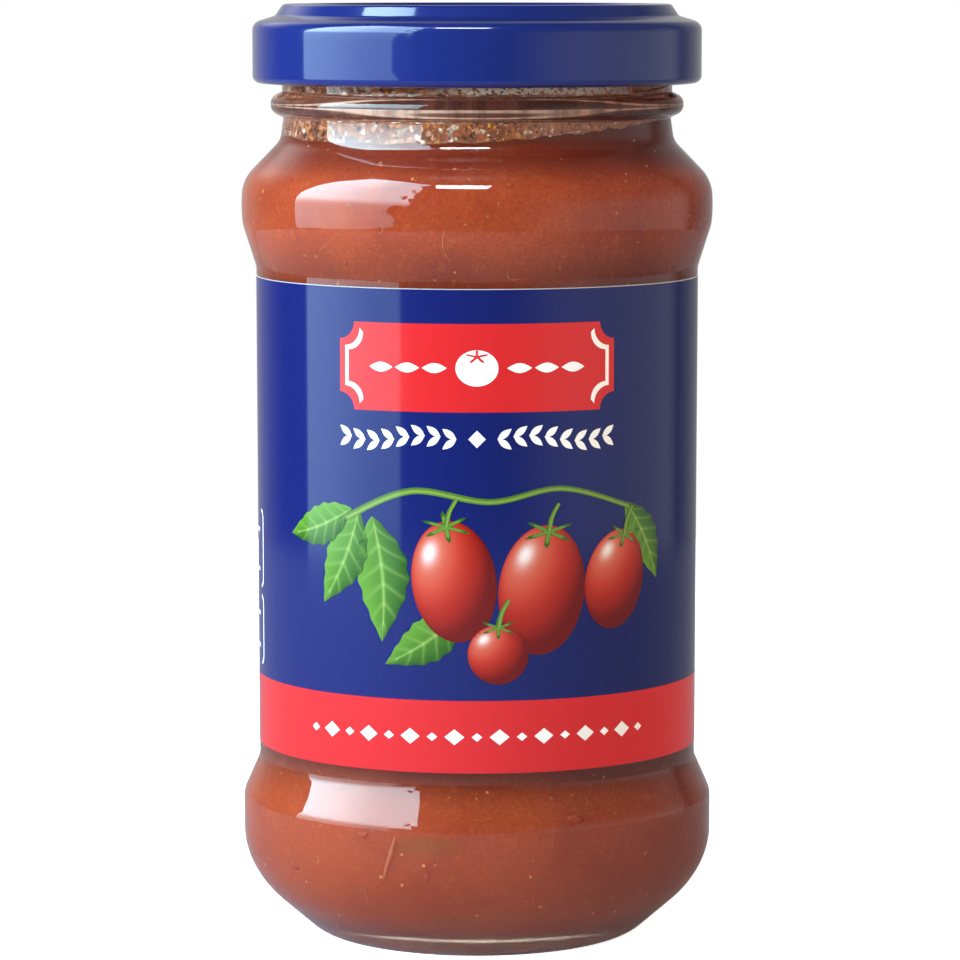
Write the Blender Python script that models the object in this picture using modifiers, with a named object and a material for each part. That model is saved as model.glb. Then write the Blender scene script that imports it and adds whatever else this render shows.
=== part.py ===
"""A shut jar of tomato sauce, standing on its base: a clear glass jar, the sauce in it, a wrap-round
paper label and a pressed steel lug lid. Metres, +Z up, origin at the centre of the standing ring."""

import math

import bmesh
import bpy
from mathutils import Matrix, Vector

# Facets round each turned piece, how far a facet may cut into a rounding, and the gap between pieces
SIDES = 48
FLATNESS = 0.00007
GAP = 0.0003

# Outside of the glass, from the standing ring up
RING_OUTER = 0.0246
RING_ROUNDING = 0.0058
RING_INNER = 0.0194
PUSH_UP_RADIUS = 0.0170
PUSH_UP_SHOULDER = 0.0011
PUSH_UP_HEIGHT = 0.0021
HEEL_RADIUS = 0.0338
HEEL_HEIGHT = 0.0080
HEEL_ROUNDING = 0.0081
LOW_BULGE_RADIUS = 0.0366
LOW_BULGE_BOTTOM = 0.0135
LOW_BULGE_BOTTOM_ROUNDING = 0.0124
LOW_BULGE_TOP = 0.0221
LOW_BULGE_TOP_ROUNDING = 0.0036
WAIST_LOW_RADIUS = 0.0341
WAIST_LOW_HEIGHT = 0.0278
WAIST_LOW_ROUNDING = 0.0037
WAIST_HIGH_RADIUS = 0.0344
WAIST_HIGH_HEIGHT = 0.1044
WAIST_HIGH_ROUNDING = 0.0036
HIGH_BULGE_RADIUS = 0.0366
HIGH_BULGE_BOTTOM = 0.1110
HIGH_BULGE_TOP = 0.1178
HIGH_BULGE_ROUNDING = 0.0061
NECK_RADIUS = 0.0302
NECK_HEIGHT = 0.1243
NECK_ROUNDING = 0.0030
BEAD_RADIUS = 0.0319
BEAD_ROUNDING = 0.0008
BEAD_ROOTS = (0.1275, 0.1314)
BEAD_CROWN = (0.1287, 0.1301)
RIM_HEIGHT = 0.1436
RIM_ROUNDING = 0.0012

# The label, and the shallow panel pressed into the glass for it
LABEL_BOTTOM = 0.0303
LABEL_TOP = 0.1031
LABEL_LOW_RADIUS = 0.0342
LABEL_HIGH_RADIUS = 0.0344
LABEL_THICKNESS = 0.0003
PANEL_STEP = 0.00035

# Inside of the glass
FLOOR_HEIGHT = 0.0052
FLOOR_ROUNDING = 0.0130
WALL = 0.0026
NECK_WALL = 0.0024

# Four sloping threads for the lid's lugs
THREADS = 4
THREAD_START = math.radians(-131)
THREAD_SPAN = math.radians(96)
THREAD_START_HEIGHT = 0.1328
THREAD_LEAD = 0.0150
THREAD_ROUTE_RADIUS = 0.0305
THREAD_THICKNESS = 0.00135
THREAD_POINTS = 9

# Sauce: its level on the jar's axis, and how far it leans up to the right
SAUCE_LEVEL = 0.1243
SAUCE_TILT = math.radians(2.8)
SAUCE_STOCK_HEIGHT = 0.1275

# Lid, from the middle of its panel out and down
LID_TOP = 0.1449
LID_STEEL = 0.0004
BUTTON_RADIUS = 0.0140
BUTTON_SLOPE = 0.0012
BUTTON_RISE = 0.0004
PANEL_DROP = 0.0010
RIDGE_INNER = 0.0268
RIDGE_SLOPE = 0.0009
RIDGE_OUTER = 0.0300
RIDGE_ROUNDING = 0.0008
GROOVE_RADIUS = 0.0312
GROOVE_HEIGHT = 0.1431
SHOULDER_RADIUS = 0.03475
SHOULDER_HEIGHT = 0.1420
SHOULDER_ROUNDING = 0.0016
SKIRT_BOTTOM = 0.13275
CURL_ROUNDING = 0.0012
CURL_INNER = 0.0323
CURL_HEIGHT = 0.0024
LUG_ANGLE = math.radians(79)
LUG_SIZE = (0.0024, 0.0066, 0.0009)
LUG_INNER = 0.0309
LUG_BOTTOM = 0.1331

# Base colours, linear
GLASS_COLOUR = (0.86, 0.90, 0.87, 1.0)
SAUCE_COLOUR = (0.36, 0.055, 0.020, 1.0)
LID_COLOUR = (0.014, 0.034, 0.235, 1.0)
LABEL_COLOUR = (0.016, 0.030, 0.190, 1.0)


def clear_scene():
    for thing in list(bpy.data.objects):
        bpy.data.objects.remove(thing, do_unlink=True)


def new_collection(name, hidden=False):
    collection = bpy.data.collections.new(name)
    bpy.context.scene.collection.children.link(collection)
    collection.hide_render = hidden
    return collection


def new_material(name, colour, roughness, metallic=0.0, transmission=0.0):
    material = bpy.data.materials.new(name)
    material.use_nodes = True
    shader = material.node_tree.nodes["Principled BSDF"]
    shader.inputs["Base Color"].default_value = colour
    shader.inputs["Roughness"].default_value = roughness
    shader.inputs["Metallic"].default_value = metallic
    shader.inputs["Transmission Weight"].default_value = transmission
    return material


def rounded(corners):
    """The points of an outline given as (radius, height) or (radius, height, rounding) corners."""
    points = []
    for index, corner in enumerate(corners):
        here = Vector(corner[:2])
        if len(corner) == 2:
            points.append(here)
            continue
        rounding = corner[2]
        back = (Vector(corners[index - 1][:2]) - here).normalized()
        ahead = (Vector(corners[index + 1][:2]) - here).normalized()
        half = back.angle(ahead) / 2
        centre = here + (back + ahead).normalized() * rounding / math.sin(half)
        first = here + back * rounding / math.tan(half) - centre
        sweep = math.pi - 2 * half
        if back.cross(ahead) > 0:
            sweep = -sweep
        widest = 2 * math.acos(1 - FLATNESS / rounding)
        steps = max(1, math.ceil(abs(sweep) / widest))
        for step in range(steps + 1):
            turn = Matrix.Rotation(sweep * step / steps, 2)
            points.append(centre + turn @ first)
    return points


def turned(name, outline, material, collection, ring=False):
    """An outline in the XZ plane turned about Z. It runs down its outer side, and a ring's is closed."""
    mesh = bpy.data.meshes.new(name)
    count = len(outline)
    edges = [(index, index + 1) for index in range(count - 1)]
    if ring:
        edges.append((count - 1, 0))
    mesh.from_pydata([(point.x, 0.0, point.y) for point in outline], edges, [])
    piece = bpy.data.objects.new(name, mesh)
    collection.objects.link(piece)
    mesh.materials.append(material)
    screw = piece.modifiers.new("Turn", "SCREW")
    screw.axis = "Z"
    screw.angle = 2 * math.pi
    screw.steps = SIDES
    screw.render_steps = SIDES
    screw.use_merge_vertices = True
    screw.merge_threshold = 0.00001
    screw.use_smooth_shade = True
    return piece


def outside_of_glass():
    """From the rim down to the middle of the push-up, with the label's panel and the bead."""
    panel_low = LABEL_LOW_RADIUS - LABEL_THICKNESS - GAP
    panel_high = LABEL_HIGH_RADIUS - LABEL_THICKNESS - GAP
    return [
        (NECK_RADIUS, RIM_HEIGHT, RIM_ROUNDING),
        (NECK_RADIUS, BEAD_ROOTS[1]),
        (BEAD_RADIUS, BEAD_CROWN[1], BEAD_ROUNDING),
        (BEAD_RADIUS, BEAD_CROWN[0], BEAD_ROUNDING),
        (NECK_RADIUS, BEAD_ROOTS[0]),
        (NECK_RADIUS, NECK_HEIGHT, NECK_ROUNDING),
        (HIGH_BULGE_RADIUS, HIGH_BULGE_TOP, HIGH_BULGE_ROUNDING),
        (HIGH_BULGE_RADIUS, HIGH_BULGE_BOTTOM, HIGH_BULGE_ROUNDING),
        (WAIST_HIGH_RADIUS, WAIST_HIGH_HEIGHT, WAIST_HIGH_ROUNDING),
        (WAIST_HIGH_RADIUS, LABEL_TOP + 2 * PANEL_STEP),
        (panel_high, LABEL_TOP + PANEL_STEP),
        (panel_low, LABEL_BOTTOM - PANEL_STEP),
        (WAIST_LOW_RADIUS, LABEL_BOTTOM - 2 * PANEL_STEP),
        (WAIST_LOW_RADIUS, WAIST_LOW_HEIGHT, WAIST_LOW_ROUNDING),
        (LOW_BULGE_RADIUS, LOW_BULGE_TOP, LOW_BULGE_TOP_ROUNDING),
        (LOW_BULGE_RADIUS, LOW_BULGE_BOTTOM, LOW_BULGE_BOTTOM_ROUNDING),
        (HEEL_RADIUS, HEEL_HEIGHT, HEEL_ROUNDING),
        (RING_OUTER, 0.0, RING_ROUNDING),
        (RING_INNER, 0.0),
        (PUSH_UP_RADIUS, PUSH_UP_SHOULDER),
        (0.0, PUSH_UP_HEIGHT),
    ]


def inside_of_glass(clear=0.0):
    """From the middle of the floor up to the neck, drawn in by a clearance for what fills it."""
    bulge = LOW_BULGE_RADIUS - WALL - clear
    waist_low = WAIST_LOW_RADIUS - WALL - clear
    waist_high = WAIST_HIGH_RADIUS - WALL - clear
    neck = NECK_RADIUS - NECK_WALL - clear
    return [
        (0.0, FLOOR_HEIGHT + clear),
        (bulge, FLOOR_HEIGHT + clear, FLOOR_ROUNDING),
        (bulge, LOW_BULGE_TOP, LOW_BULGE_TOP_ROUNDING),
        (waist_low, WAIST_LOW_HEIGHT, WAIST_LOW_ROUNDING),
        (waist_high, WAIST_HIGH_HEIGHT, WAIST_HIGH_ROUNDING),
        (bulge, HIGH_BULGE_BOTTOM, HIGH_BULGE_ROUNDING),
        (bulge, HIGH_BULGE_TOP, HIGH_BULGE_ROUNDING),
        (neck, NECK_HEIGHT, NECK_ROUNDING),
    ]


def thread_mesh(index, collection):
    """One sloping thread: a round bar on a helix, sunk in the neck by more than half."""
    curve = bpy.data.curves.new(f"thread_{index}", "CURVE")
    curve.dimensions = "3D"
    curve.bevel_depth = THREAD_THICKNESS
    curve.bevel_resolution = 1
    curve.use_fill_caps = True
    route = curve.splines.new("POLY")
    route.points.add(THREAD_POINTS - 1)
    for step, point in enumerate(route.points):
        along = THREAD_SPAN * step / (THREAD_POINTS - 1)
        angle = THREAD_START + 2 * math.pi * index / THREADS + along
        height = THREAD_START_HEIGHT + THREAD_LEAD * along / (2 * math.pi)
        place = (THREAD_ROUTE_RADIUS * math.cos(angle), THREAD_ROUTE_RADIUS * math.sin(angle), height)
        point.co = (*place, 1.0)
    guide = bpy.data.objects.new(curve.name, curve)
    collection.objects.link(guide)
    bpy.context.view_layer.update()
    evaluated = guide.evaluated_get(bpy.context.evaluated_depsgraph_get())
    mesh = bpy.data.meshes.new_from_object(evaluated)
    form = bmesh.new()
    form.from_mesh(mesh)
    bmesh.ops.remove_doubles(form, verts=form.verts, dist=0.000001)
    bmesh.ops.recalc_face_normals(form, faces=form.faces)
    form.to_mesh(mesh)
    form.free()
    thread = bpy.data.objects.new(curve.name, mesh)
    thread.matrix_world = guide.matrix_world
    collection.objects.link(thread)
    bpy.data.objects.remove(guide, do_unlink=True)
    thread.display_type = "WIRE"
    thread.hide_render = True


def join(piece, collection):
    union = piece.modifiers.new("Join", "BOOLEAN")
    union.operation = "UNION"
    union.solver = "EXACT"
    union.operand_type = "COLLECTION"
    union.collection = collection


def make_glass(parts):
    """The jar: one wall from the floor up over the rim and down to the base, and the four threads."""
    inner_neck = NECK_RADIUS - NECK_WALL
    outline = inside_of_glass() + [(inner_neck, RIM_HEIGHT, RIM_ROUNDING)] + outside_of_glass()
    material = new_material("clear_glass", GLASS_COLOUR, 0.03, transmission=1.0)
    glass = turned("glass_jar", rounded(outline), material, parts)
    threads = new_collection("threads", hidden=True)
    for index in range(THREADS):
        thread_mesh(index, threads)
    join(glass, threads)


def make_sauce(parts):
    """The sauce, turned to the jar's inside and cut off along its leaning level."""
    filling = inside_of_glass(GAP)
    neck = filling[-1][0]
    outline = rounded(filling + [(neck, SAUCE_STOCK_HEIGHT), (0.0, SAUCE_STOCK_HEIGHT)])
    material = new_material("tomato_sauce", SAUCE_COLOUR, 0.35)
    sauce = turned("sauce", list(reversed(outline)), material, parts)
    cutters = new_collection("cutters", hidden=True)
    side = 4 * HIGH_BULGE_RADIUS
    mesh = bpy.data.meshes.new("sauce_level")
    form = bmesh.new()
    bmesh.ops.create_cube(form, size=side, matrix=Matrix.Translation((0.0, 0.0, side / 2)))
    form.to_mesh(mesh)
    form.free()
    cutter = bpy.data.objects.new("sauce_level", mesh)
    cutters.objects.link(cutter)
    cutter.location = (0.0, 0.0, SAUCE_LEVEL)
    cutter.rotation_euler = (0.0, -SAUCE_TILT, 0.0)
    cutter.display_type = "WIRE"
    cutter.hide_render = True
    level = sauce.modifiers.new("Level", "BOOLEAN")
    level.operation = "DIFFERENCE"
    level.solver = "EXACT"
    level.object = cutter


def make_label(parts):
    """The paper label, a thin sleeve in the glass's panel."""
    outline = [
        Vector((LABEL_HIGH_RADIUS, LABEL_TOP)),
        Vector((LABEL_LOW_RADIUS, LABEL_BOTTOM)),
        Vector((LABEL_LOW_RADIUS - LABEL_THICKNESS, LABEL_BOTTOM)),
        Vector((LABEL_HIGH_RADIUS - LABEL_THICKNESS, LABEL_TOP)),
    ]
    material = new_material("label_paper", LABEL_COLOUR, 0.45)
    turned("label", outline, material, parts, ring=True)


def make_lid(parts):
    """The lid: a pressed panel with a safety button, a skirt with a curled edge and four lugs."""
    panel = LID_TOP - PANEL_DROP
    under_ridge = RIM_HEIGHT + GAP
    inner_skirt = SHOULDER_RADIUS - LID_STEEL
    curl_top = SKIRT_BOTTOM + CURL_HEIGHT
    outline = [
        (0.0, panel + BUTTON_RISE),
        (BUTTON_RADIUS, panel + BUTTON_RISE),
        (BUTTON_RADIUS + BUTTON_SLOPE, panel),
        (RIDGE_INNER - RIDGE_SLOPE, panel),
        (RIDGE_INNER, LID_TOP),
        (RIDGE_OUTER, LID_TOP, RIDGE_ROUNDING),
        (GROOVE_RADIUS, GROOVE_HEIGHT, RIDGE_ROUNDING),
        (SHOULDER_RADIUS, SHOULDER_HEIGHT, SHOULDER_ROUNDING),
        (SHOULDER_RADIUS, SKIRT_BOTTOM, CURL_ROUNDING),
        (CURL_INNER, SKIRT_BOTTOM, CURL_ROUNDING / 2),
        (CURL_INNER, curl_top, CURL_ROUNDING / 2),
        (inner_skirt, curl_top),
        (inner_skirt, SHOULDER_HEIGHT - LID_STEEL),
        (GROOVE_RADIUS - LID_STEEL, GROOVE_HEIGHT - LID_STEEL),
        (RIDGE_OUTER - LID_STEEL, under_ridge),
        (RIDGE_INNER - LID_STEEL, under_ridge),
        (RIDGE_INNER - RIDGE_SLOPE, panel - LID_STEEL),
        (0.0, panel - LID_STEEL),
    ]
    material = new_material("lid_enamel", LID_COLOUR, 0.12)
    lid = turned("lid", rounded(outline), material, parts)
    lugs = new_collection("lugs", hidden=True)
    for index in range(THREADS):
        angle = THREAD_START + LUG_ANGLE + 2 * math.pi * index / THREADS
        mesh = bpy.data.meshes.new(f"lug_{index}")
        form = bmesh.new()
        bmesh.ops.create_cube(form, size=1.0, matrix=Matrix.Diagonal((*LUG_SIZE, 1.0)))
        form.to_mesh(mesh)
        form.free()
        lug = bpy.data.objects.new(mesh.name, mesh)
        lugs.objects.link(lug)
        reach = LUG_INNER + LUG_SIZE[0] / 2
        height = LUG_BOTTOM + LUG_SIZE[2] / 2
        lug.location = (reach * math.cos(angle), reach * math.sin(angle), height)
        lug.rotation_euler = (0.0, 0.0, angle)
        lug.display_type = "WIRE"
        lug.hide_render = True
    join(lid, lugs)


def main():
    clear_scene()
    parts = new_collection("tomato_sauce_jar")
    make_glass(parts)
    make_sauce(parts)
    make_label(parts)
    make_lid(parts)


if __name__ == "__main__":
    main()
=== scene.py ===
"""Looks of a shut jar of tomato sauce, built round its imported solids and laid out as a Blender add-on."""

import math
import random

import bmesh
import bpy
import numpy as np
from bpy.props import FloatProperty, FloatVectorProperty, IntProperty, PointerProperty
from mathutils import Matrix, Vector


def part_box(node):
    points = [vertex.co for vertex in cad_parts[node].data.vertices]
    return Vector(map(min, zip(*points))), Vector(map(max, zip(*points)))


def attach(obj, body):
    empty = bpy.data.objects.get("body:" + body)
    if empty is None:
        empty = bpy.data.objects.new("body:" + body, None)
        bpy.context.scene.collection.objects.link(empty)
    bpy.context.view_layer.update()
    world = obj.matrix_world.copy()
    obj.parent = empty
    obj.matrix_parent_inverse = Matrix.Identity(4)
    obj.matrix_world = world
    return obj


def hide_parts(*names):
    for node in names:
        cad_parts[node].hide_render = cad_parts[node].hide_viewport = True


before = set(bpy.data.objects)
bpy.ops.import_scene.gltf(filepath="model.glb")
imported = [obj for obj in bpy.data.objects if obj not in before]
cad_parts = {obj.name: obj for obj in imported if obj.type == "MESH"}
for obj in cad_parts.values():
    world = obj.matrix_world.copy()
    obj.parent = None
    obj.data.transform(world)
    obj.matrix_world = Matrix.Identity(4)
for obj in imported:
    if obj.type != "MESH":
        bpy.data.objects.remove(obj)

bl_info = {
    "name": "Tomato Sauce Jar",
    "version": (1, 0, 0),
    "blender": (4, 5, 0),
    "location": "3D View > Sidebar > Sauce Jar",
    "description": "Dresses a glass jar of tomato sauce: glass, sauce, neck smears, label and lid",
    "category": "Object",
}

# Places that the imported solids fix
GLASS_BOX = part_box("glass_jar")
LABEL_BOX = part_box("label")
LID_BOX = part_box("lid")
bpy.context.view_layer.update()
BULGE_RADIUS = GLASS_BOX[1].x
RIM_HEIGHT = GLASS_BOX[1].z
LABEL_BOTTOM = LABEL_BOX[0].z
LABEL_TOP = LABEL_BOX[1].z
LABEL_HEIGHT = LABEL_TOP - LABEL_BOTTOM
LID_TOP = LID_BOX[1].z
LID_BOTTOM = LID_BOX[0].z
LID_RADIUS = LID_BOX[1].x
BODY = "root"
MM = 0.001
FRONT = -math.pi / 2
TURN = 2 * math.pi


# Outlines and turned meshes


def rounded(corners, flatness):
    """The points of an outline of (radius, height) corners, some with a rounding and a flatness too."""
    points = []
    for index, corner in enumerate(corners):
        here = Vector(corner[:2])
        if len(corner) == 2:
            points.append(here)
            continue
        rounding = corner[2]
        fine = corner[3] if len(corner) > 3 else flatness
        back = (Vector(corners[index - 1][:2]) - here).normalized()
        ahead = (Vector(corners[(index + 1) % len(corners)][:2]) - here).normalized()
        half = back.angle(ahead) / 2
        centre = here + (back + ahead).normalized() * rounding / math.sin(half)
        first = here + back * rounding / math.tan(half) - centre
        sweep = math.pi - 2 * half
        if back.cross(ahead) > 0:
            sweep = -sweep
        steps = max(2, math.ceil(abs(sweep) / (2 * math.acos(1 - fine / rounding))))
        points += [centre + Matrix.Rotation(sweep * step / steps, 2) @ first for step in range(steps + 1)]
    return points


def spaced(points, widest):
    """The same outline with no stretch longer than widest."""
    result = [points[0]]
    for start, end in zip(points, points[1:]):
        parts = max(1, math.ceil((end - start).length / widest))
        result += [start.lerp(end, part / parts) for part in range(1, parts + 1)]
    return result


def turned(name, outline, sides, closed=False, shape=None):
    """A mesh of an outline turned about Z. shape may bend it: it takes and gives radius and height arrays."""
    angles = np.arange(sides) * TURN / sides
    radius = np.array([[point.x] for point in outline]) * np.ones(sides)
    height = np.array([[point.y] for point in outline]) * np.ones(sides)
    if shape:
        radius, height = shape(angles[None, :], radius, height)
    verts = np.stack([radius * np.cos(angles), radius * np.sin(angles), height], axis=2).reshape(-1, 3)
    rows = len(outline)
    faces = []
    for row in range(rows if closed else rows - 1):
        low = row * sides
        high = (row + 1) % rows * sides
        for side in range(sides):
            after = (side + 1) % sides
            faces.append((low + side, high + side, high + after, low + after))
    return finished_mesh(name, verts, faces)


def linked(name, data):
    """A new object of this data, in the scene."""
    thing = bpy.data.objects.new(name, data)
    bpy.context.scene.collection.objects.link(thing)
    return thing


def sheet_faces(columns, rows):
    """The faces of a sheet whose points are laid out row by row."""
    starts = [row * (columns + 1) + column for row in range(rows) for column in range(columns)]
    return [(low, low + 1, low + columns + 2, low + columns + 1) for low in starts]


def inked(mesh, colours):
    """Gives each point of a mesh its colour."""
    layer = mesh.color_attributes.new("ink", "FLOAT_COLOR", "POINT")
    layer.data.foreach_set("color", np.asarray(colours, np.float32).reshape(-1))


def finished_mesh(name, verts, faces, colours=None):
    """A smooth mesh object of these points and faces. Without colours it is also merged where they meet and
    turned to face out.
    """
    mesh = bpy.data.meshes.new(name)
    mesh.from_pydata([tuple(vert) for vert in verts], [], faces)
    if colours is not None:
        inked(mesh, colours)
    else:
        form = bmesh.new()
        form.from_mesh(mesh)
        bmesh.ops.remove_doubles(form, verts=form.verts, dist=1e-7)
        bmesh.ops.dissolve_degenerate(form, edges=form.edges, dist=1e-8)
        bmesh.ops.recalc_face_normals(form, faces=form.faces)
        form.to_mesh(mesh)
        form.free()
    mesh.shade_smooth()
    return linked(name, mesh)


def place(piece, slot, *replaced):
    """Rides a finished piece on the jar and hides the solids that it stands for."""
    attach(piece, BODY)
    if replaced:
        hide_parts(*replaced)
    return piece


# Materials


class Nodes:
    """The node tree of a material, a lamp or the room, with a call for each kind of node that they share."""

    def __init__(self, owner, place="Object"):
        owner.use_nodes = True
        self.nodes = owner.node_tree.nodes
        self.links = owner.node_tree.links
        self.place = self.node("ShaderNodeTexCoord").outputs[place]

    def node(self, kind, inputs=None, **settings):
        made = self.nodes.new(kind)
        for name, setting in settings.items():
            setattr(made, name, setting)
        for key, value in (inputs or {}).items():
            self.feed(made.inputs[key], value)
        return made

    def feed(self, socket, value):
        """Links a socket or sets its value. A colour may leave out its alpha."""
        if isinstance(value, bpy.types.NodeSocket):
            self.links.new(value, socket)
        elif socket.type == "RGBA" and len(value) == 3:
            socket.default_value = (*value, 1.0)
        else:
            socket.default_value = value

    def stretched(self, scale):
        mapping = self.node("ShaderNodeMapping", {"Vector": self.place, "Scale": scale})
        return mapping.outputs["Vector"]

    def noise(self, scale, detail=3.0, distortion=0.0, roughness=0.5, vector=None):
        inputs = {"Scale": scale, "Detail": detail, "Distortion": distortion, "Roughness": roughness}
        inputs["Vector"] = vector or self.place
        return self.node("ShaderNodeTexNoise", inputs).outputs["Fac"]

    def cells(self, scale, vector=None):
        """Random cells: how far a point is from its cell's middle, and a random number for the cell."""
        cell = self.node("ShaderNodeTexVoronoi", {"Vector": vector or self.place, "Scale": scale}).outputs
        lot = self.node("ShaderNodeSeparateColor", {"Color": cell["Color"]}).outputs["Red"]
        return cell["Distance"], lot

    def shaken(self, amount, scale):
        """The place, pushed about by up to half of amount, so that edges wander."""
        inputs = {"Vector": self.place, "Scale": scale, "Detail": 2.0}
        push = self.node("ShaderNodeTexNoise", inputs).outputs["Color"]
        inputs = {0: push, 1: (-0.5, -0.5, -0.5)}
        shift = self.node("ShaderNodeVectorMath", inputs, operation="ADD").outputs[0]
        inputs = {0: shift, 1: (amount, amount, amount), 2: self.place}
        return self.node("ShaderNodeVectorMath", inputs, operation="MULTIPLY_ADD").outputs[0]

    def steps(self, value, *stops):
        """One of several colours, by how value stands to each stop's lower bound."""
        ramp = self.node("ShaderNodeValToRGB", {"Fac": value})
        ramp.color_ramp.interpolation = "CONSTANT"
        marks = ramp.color_ramp.elements
        while len(marks) < len(stops):
            marks.new(1.0)
        for mark, (bound, colour) in zip(marks, stops):
            mark.position = bound
            mark.color = (*colour, 1.0)
        return ramp.outputs["Color"]

    def math(self, operation, first, second=0.0, third=0.0):
        made = self.node("ShaderNodeMath", operation=operation)
        for socket, value in zip(made.inputs, (first, second, third)):
            self.feed(socket, value)
        return made.outputs[0]

    def times(self, value, *others):
        for other in others:
            value = self.math("MULTIPLY", value, other)
        return value

    def plus(self, value, *others):
        for other in others:
            value = self.math("ADD", value, other)
        return value

    def remap(self, value, low, high, to_low=0.0, to_high=1.0):
        inputs = {"Value": value, "From Min": low, "From Max": high, "To Min": to_low, "To Max": to_high}
        return self.node("ShaderNodeMapRange", inputs, interpolation_type="SMOOTHSTEP").outputs["Result"]

    def value(self, number):
        made = self.nodes.new("ShaderNodeValue")
        made.outputs[0].default_value = number
        return made.outputs[0]

    def mix(self, first, second, factor):
        inputs = {"Factor": factor, 6: first, 7: second}
        return self.node("ShaderNodeMix", inputs, data_type="RGBA").outputs[2]

    def bump(self, height, distance, strength=1.0, normal=None):
        inputs = {"Height": height, "Distance": distance, "Strength": strength}
        if normal:
            inputs["Normal"] = normal
        return self.node("ShaderNodeBump", inputs).outputs["Normal"]

    def axes(self, vector=None):
        return self.node("ShaderNodeSeparateXYZ", {"Vector": vector or self.place}).outputs

    def ink(self):
        """The colours that a mesh carries."""
        return self.node("ShaderNodeVertexColor", layer_name="ink").outputs["Color"]

    def rays(self):
        return self.node("ShaderNodeLightPath").outputs


class Tree(Nodes):
    """A material with a Principled shader."""

    def __init__(self, name):
        self.material = bpy.data.materials.new(name)
        super().__init__(self.material)
        self.shader = self.nodes["Principled BSDF"]
        self.output = self.nodes["Material Output"]

    def set(self, **values):
        """Sets or links the shader's sockets, with _ for a space in a name."""
        for key, value in values.items():
            self.feed(self.shader.inputs[key.replace("_", " ")], value)

    def lets_lamps_through(self, tint):
        """Lets light from lamps through the glass, so that they light what is behind it."""
        ray = self.rays()["Is Shadow Ray"]
        clear = self.node("ShaderNodeBsdfTransparent", {"Color": tint}).outputs["BSDF"]
        both = self.node("ShaderNodeMixShader", {0: ray, 1: self.shader.outputs["BSDF"], 2: clear})
        self.links.new(both.outputs["Shader"], self.output.inputs["Surface"])


def clear_glass_material(settings):
    """Flint glass, smooth with long faint waves, a little green in its thickness."""
    tree = Tree("clear_glass")
    waves = tree.noise(55.0, detail=1.0, vector=tree.stretched((1.0, 1.0, 0.45)))
    x, y, z = tree.axes()
    reach = tree.math("SQRT", tree.plus(tree.times(x, x), tree.times(y, y)))
    low = tree.remap(z, 0.0023, 0.0026, 1.0, 0.0)
    base = tree.times(low, tree.remap(reach, 0.0238, 0.0252, 1.0, 0.0))
    stipple, _ = tree.cells(1600.0)
    tree.set(
        Base_Color=settings.tint,
        Roughness=tree.times(base, tree.remap(stipple, 0.2, 0.6, 0.55, 0.2)),
        IOR=1.52,
        Transmission_Weight=1.0,
        Normal=tree.bump(waves, 0.0009, 0.22),
    )
    tree.lets_lamps_through(settings.shadow_tint)
    return tree.material


def sauce_material(settings):
    """Thick cooked tomato: cloudy pulp, darker skins, orange oil and fine pale specks, with painted shade
    under the neck, along the label's edges and, in part, towards the bottom.
    """
    tree = Tree("tomato_sauce")
    clouds = tree.noise(70.0, detail=4.0, distortion=0.6)
    pulp = tree.noise(520.0, detail=4.0, distortion=0.3)
    grain = tree.noise(2000.0, detail=3.0, roughness=0.6)
    shade = tree.mix(settings.deep, settings.colour, tree.remap(clouds, 0.30, 0.62))
    shade = tree.mix(shade, settings.oily, tree.remap(pulp, 0.52, 0.80, 0.0, 0.55))
    shade = tree.mix(shade, settings.deep, tree.remap(grain, 0.50, 0.66, 0.0, 0.7))
    shade = tree.mix(shade, settings.oily, tree.remap(grain, 0.46, 0.34, 0.0, 0.32))
    x, y, z = tree.axes()
    # Painted shade: the sauce is darkened just under the neck.
    top = tree.remap(z, settings.level - 0.0070, settings.level - 0.0020, 0.0, 0.7)
    shade = tree.mix(shade, settings.dark, top)
    # Deeper red towards the bottom: partly painted shade.
    low = tree.remap(z, LABEL_BOTTOM, 0.0100, 0.0, 0.5)
    shade = tree.mix(shade, settings.deep, low)
    # Painted shade: the sauce is darkened just above and just below the label's edges.
    shaded = tree.remap(z, LABEL_TOP, LABEL_TOP + 0.0070, 0.50, 0.0)
    shaded = tree.times(shaded, tree.remap(z, LABEL_TOP - 0.01, LABEL_TOP - 0.002))
    under = tree.remap(z, LABEL_BOTTOM - 0.0060, LABEL_BOTTOM, 0.0, 0.60)
    under = tree.times(under, tree.remap(z, LABEL_BOTTOM + 0.002, LABEL_BOTTOM + 0.01, 1.0, 0.0))
    shade = tree.mix(shade, settings.dark, tree.plus(shaded, under))
    smudge = tree.math("POWER", tree.math("DIVIDE", tree.math("SUBTRACT", z, 0.0192), 0.0016), 2.0)
    aside = tree.math("POWER", tree.math("DIVIDE", tree.plus(x, 0.0072), 0.0052), 2.0)
    smudge = tree.plus(tree.plus(smudge, aside), tree.remap(clouds, 0.3, 0.7, -0.4, 0.4))
    smudge = tree.times(tree.remap(smudge, -0.3, 1.5, 0.50, 0.0), tree.remap(y, -0.02, 0.0, 1.0, 0.0))
    shade = tree.mix(shade, (0.26, 0.105, 0.022), smudge)
    distance, lot = tree.cells(640.0)
    pale = tree.remap(distance, 0.10, 0.20, 1.0, 0.0)
    pale = tree.times(pale, tree.remap(lot, 0.90, 0.94, 0.0, 0.75))
    shade = tree.mix(shade, settings.speck, pale)
    height = tree.math("MULTIPLY_ADD", pulp, 0.7, tree.times(grain, 0.3))
    tree.set(
        Base_Color=shade,
        Roughness=tree.remap(pulp, 0.3, 0.7, 0.06, 0.16),
        Subsurface_Weight=0.8,
        Subsurface_Radius=(0.020, 0.005, 0.0025),
        Subsurface_Scale=1.0,
        IOR=tree.value(settings.contact),
        Normal=tree.bump(height, 0.0003, 0.3),
    )
    return tree.material


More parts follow.
